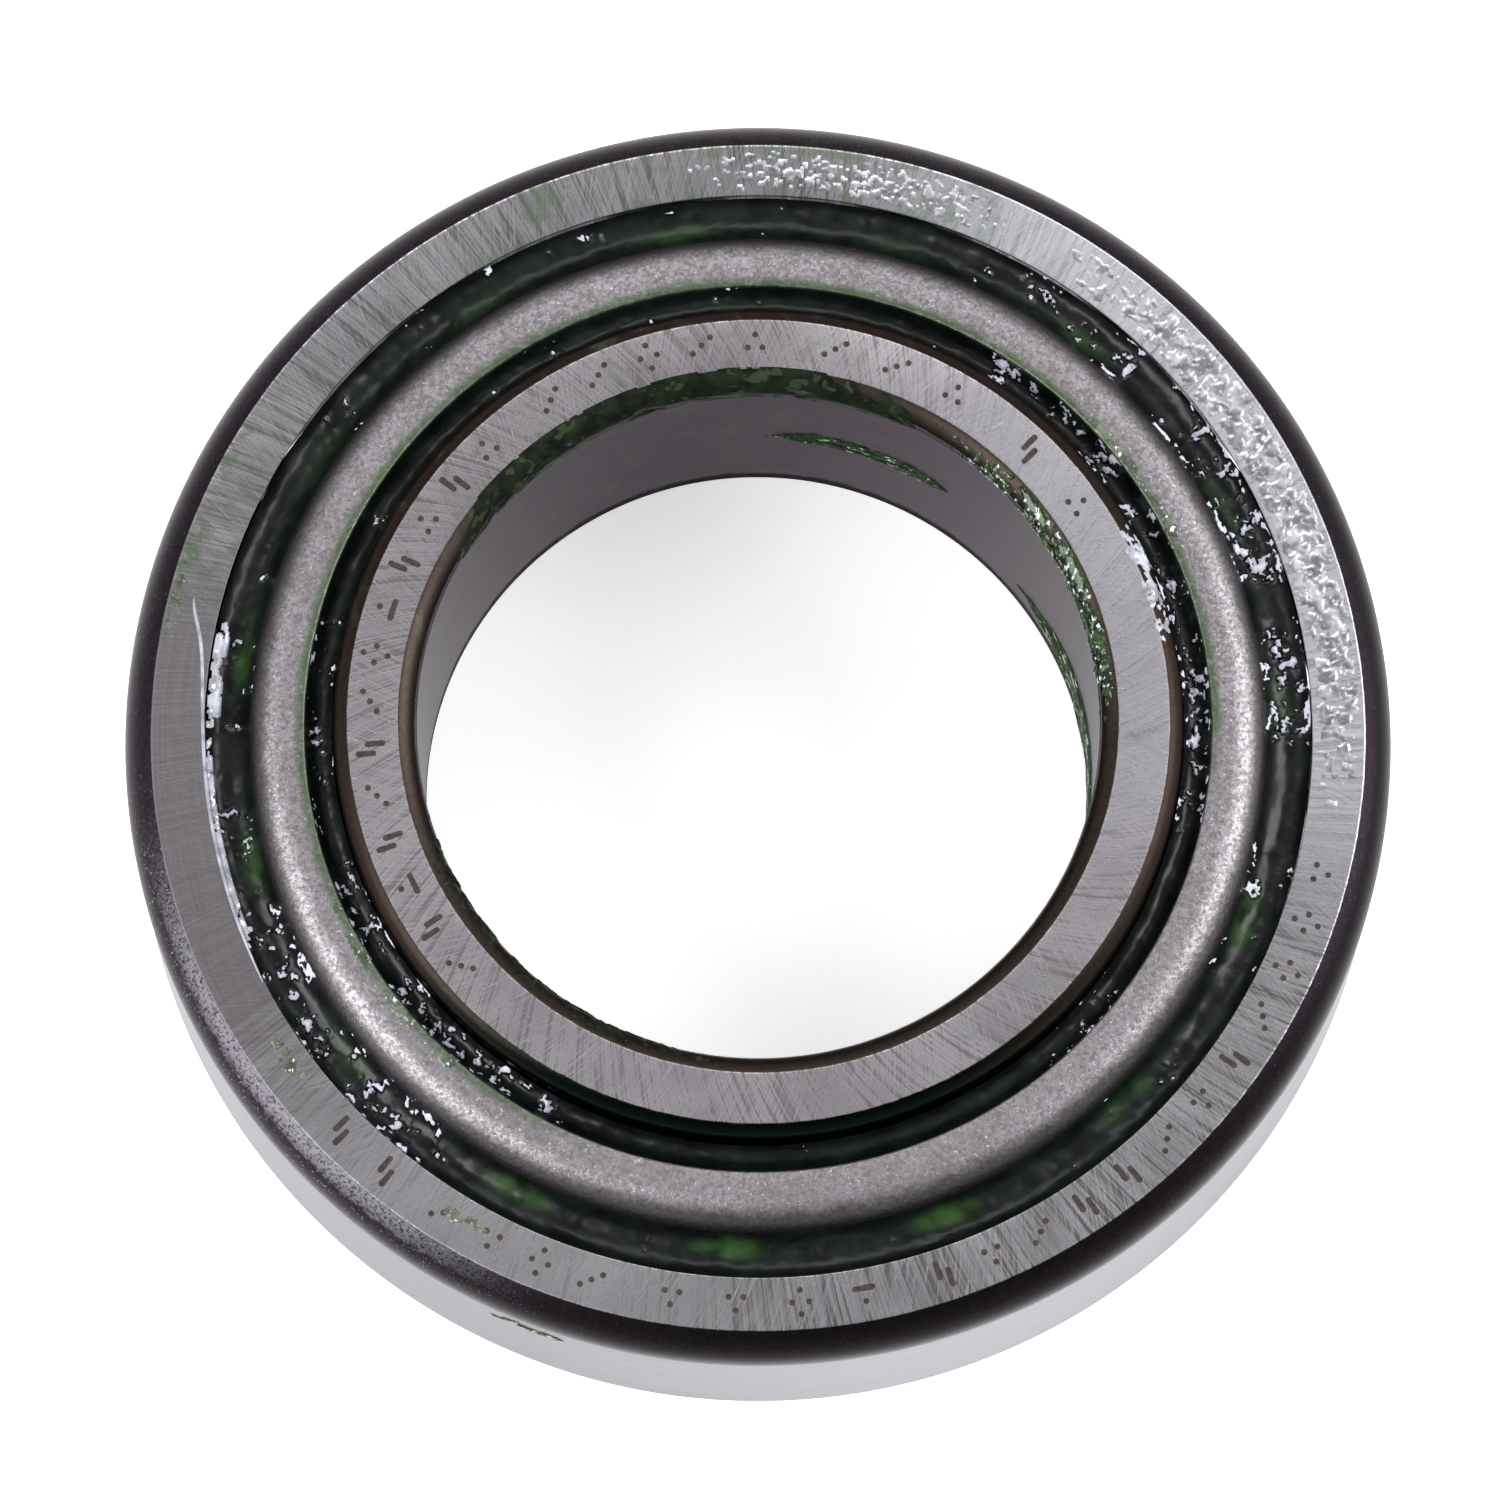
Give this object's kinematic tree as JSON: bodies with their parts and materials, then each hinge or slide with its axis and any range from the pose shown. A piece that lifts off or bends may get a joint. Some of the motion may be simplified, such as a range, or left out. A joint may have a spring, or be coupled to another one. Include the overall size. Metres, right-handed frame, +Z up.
{
  "type": "tapered roller bearing",
  "caption": "Single-row tapered roller bearing: an outer cup, an inner cone with ribs, a pressed steel cage and tapered rollers, shown packed with dark grease.",
  "frame": {"origin": "on the bearing's axis, in the cone's back face on which it stands", "axes": "+Z up along the bearing's axis, out of the cone's front face; roller_01 stands 3.3 degrees anticlockwise from +X, seen from above"},
  "size_m": [0.065, 0.065, 0.021],
  "materials": {
    "cup_steel": "satin",
    "cone_steel": "satin",
    "cage_steel": "matte",
    "roller_steel": "polished",
    "grease": "gloss"
  },
  "bodies": {
    "cup": {"cup": "cup_steel"},
    "cone": {"cone": "cone_steel"},
    "cage": {"cage": "cage_steel"},
    "roller_01": {"roller_01": "roller_steel"},
    "roller_02": {"roller_02": "roller_steel"},
    "roller_03": {"roller_03": "roller_steel"},
    "roller_04": {"roller_04": "roller_steel"},
    "roller_05": {"roller_05": "roller_steel"},
    "roller_06": {"roller_06": "roller_steel"},
    "roller_07": {"roller_07": "roller_steel"},
    "roller_08": {"roller_08": "roller_steel"},
    "roller_09": {"roller_09": "roller_steel"},
    "roller_10": {"roller_10": "roller_steel"},
    "roller_11": {"roller_11": "roller_steel"},
    "roller_12": {"roller_12": "roller_steel"},
    "roller_13": {"roller_13": "roller_steel"},
    "roller_14": {"roller_14": "roller_steel"},
    "roller_15": {"roller_15": "roller_steel"}
  },
  "joints": [
    {"name": "cone_spin", "type": "hinge", "parent": "cup", "child": "cone", "pos_m": [0, 0, 0], "axis": [0, 0, 1], "continuous": true},
    {"name": "cage_spin", "type": "hinge", "parent": "cup", "child": "cage", "pos_m": [0, 0, 0], "axis": [0, 0, 1], "continuous": true},
    {"name": "roller_01_spin", "type": "hinge", "parent": "cage", "child": "roller_01", "pos_m": [0.02485, 0.00143, 0.01603], "axis": [-0.1507, -0.0087, 0.9885], "continuous": true},
    {"name": "roller_02_spin", "type": "hinge", "parent": "cage", "child": "roller_02", "pos_m": [0.02212, 0.01142, 0.01603], "axis": [-0.1341, -0.0692, 0.9885], "continuous": true},
    {"name": "roller_03_spin", "type": "hinge", "parent": "cage", "child": "roller_03", "pos_m": [0.01556, 0.01942, 0.01603], "axis": [-0.0944, -0.1178, 0.9885], "continuous": true},
    {"name": "roller_04_spin", "type": "hinge", "parent": "cage", "child": "roller_04", "pos_m": [0.00632, 0.02407, 0.01603], "axis": [-0.0383, -0.146, 0.9885], "continuous": true},
    {"name": "roller_05_spin", "type": "hinge", "parent": "cage", "child": "roller_05", "pos_m": [-0.00402, 0.02456, 0.01603], "axis": [0.0244, -0.1489, 0.9885], "continuous": true},
    {"name": "roller_06_spin", "type": "hinge", "parent": "cage", "child": "roller_06", "pos_m": [-0.01366, 0.0208, 0.01603], "axis": [0.0829, -0.1261, 0.9885], "continuous": true},
    {"name": "roller_07_spin", "type": "hinge", "parent": "cage", "child": "roller_07", "pos_m": [-0.02094, 0.01345, 0.01603], "axis": [0.127, -0.0815, 0.9885], "continuous": true},
    {"name": "roller_08_spin", "type": "hinge", "parent": "cage", "child": "roller_08", "pos_m": [-0.0246, 0.00376, 0.01603], "axis": [0.1492, -0.0228, 0.9885], "continuous": true},
    {"name": "roller_09_spin", "type": "hinge", "parent": "cage", "child": "roller_09", "pos_m": [-0.02401, -0.00657, 0.01603], "axis": [0.1456, 0.0398, 0.9885], "continuous": true},
    {"name": "roller_10_spin", "type": "hinge", "parent": "cage", "child": "roller_10", "pos_m": [-0.01926, -0.01576, 0.01603], "axis": [0.1168, 0.0956, 0.9885], "continuous": true},
    {"name": "roller_11_spin", "type": "hinge", "parent": "cage", "child": "roller_11", "pos_m": [-0.01118, -0.02224, 0.01603], "axis": [0.0678, 0.1348, 0.9885], "continuous": true},
    {"name": "roller_12_spin", "type": "hinge", "parent": "cage", "child": "roller_12", "pos_m": [-0.00117, -0.02486, 0.01603], "axis": [0.0071, 0.1507, 0.9885], "continuous": true},
    {"name": "roller_13_spin", "type": "hinge", "parent": "cage", "child": "roller_13", "pos_m": [0.00904, -0.02319, 0.01603], "axis": [-0.0548, 0.1406, 0.9885], "continuous": true},
    {"name": "roller_14_spin", "type": "hinge", "parent": "cage", "child": "roller_14", "pos_m": [0.01769, -0.01751, 0.01603], "axis": [-0.1073, 0.1062, 0.9885], "continuous": true},
    {"name": "roller_15_spin", "type": "hinge", "parent": "cage", "child": "roller_15", "pos_m": [0.02328, -0.0088, 0.01603], "axis": [-0.1412, 0.0533, 0.9885], "continuous": true}
  ],
  "couplings": [
    {"joint": "cage_spin", "follows": "cone_spin", "ratio": 0.42553},
    {"joint": "roller_01_spin", "follows": "cone_spin", "ratio": -3.2449},
    {"joint": "roller_02_spin", "follows": "cone_spin", "ratio": -3.2449},
    {"joint": "roller_03_spin", "follows": "cone_spin", "ratio": -3.2449},
    {"joint": "roller_04_spin", "follows": "cone_spin", "ratio": -3.2449},
    {"joint": "roller_05_spin", "follows": "cone_spin", "ratio": -3.2449},
    {"joint": "roller_06_spin", "follows": "cone_spin", "ratio": -3.2449},
    {"joint": "roller_07_spin", "follows": "cone_spin", "ratio": -3.2449},
    {"joint": "roller_08_spin", "follows": "cone_spin", "ratio": -3.2449},
    {"joint": "roller_09_spin", "follows": "cone_spin", "ratio": -3.2449},
    {"joint": "roller_10_spin", "follows": "cone_spin", "ratio": -3.2449},
    {"joint": "roller_11_spin", "follows": "cone_spin", "ratio": -3.2449},
    {"joint": "roller_12_spin", "follows": "cone_spin", "ratio": -3.2449},
    {"joint": "roller_13_spin", "follows": "cone_spin", "ratio": -3.2449},
    {"joint": "roller_14_spin", "follows": "cone_spin", "ratio": -3.2449},
    {"joint": "roller_15_spin", "follows": "cone_spin", "ratio": -3.2449}
  ]
}
